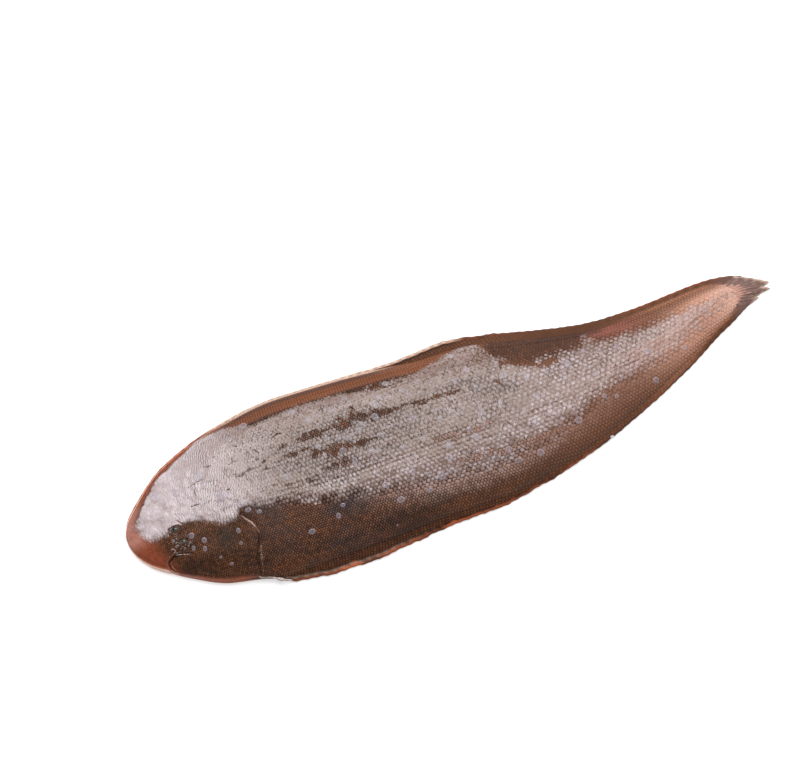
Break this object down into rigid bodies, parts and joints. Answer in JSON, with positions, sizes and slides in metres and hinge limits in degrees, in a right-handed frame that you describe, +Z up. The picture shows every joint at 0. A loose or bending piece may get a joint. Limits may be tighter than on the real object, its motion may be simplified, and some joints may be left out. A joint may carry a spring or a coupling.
{
  "type": "tongue sole",
  "caption": "Whole raw tongue sole lying flat on its blind side, dark eyed side up, with a hooked snout, a continuous fin fringe and a pointed tail.",
  "frame": {"origin": "middle of the fish's footprint, on the surface it lies on", "axes": "+X from the snout to the tail, +Y to the back (dorsal fin), +Z up out of the eyed side"},
  "size_m": [0.35, 0.0953, 0.0175],
  "materials": {
    "eyed_skin": "wet, dark brown scaled skin under a grey film of water and slime",
    "blind_skin": "wet, pale pinkish cream scaled skin",
    "fin": "thin wet membrane, reddish brown with pale orange ray tips",
    "eye": "clear wet cornea over a grey green iris",
    "water": "clear water drops"
  },
  "bodies": {
    "root": {"tongue_sole": "eyed_skin"}
  },
  "joints": []
}
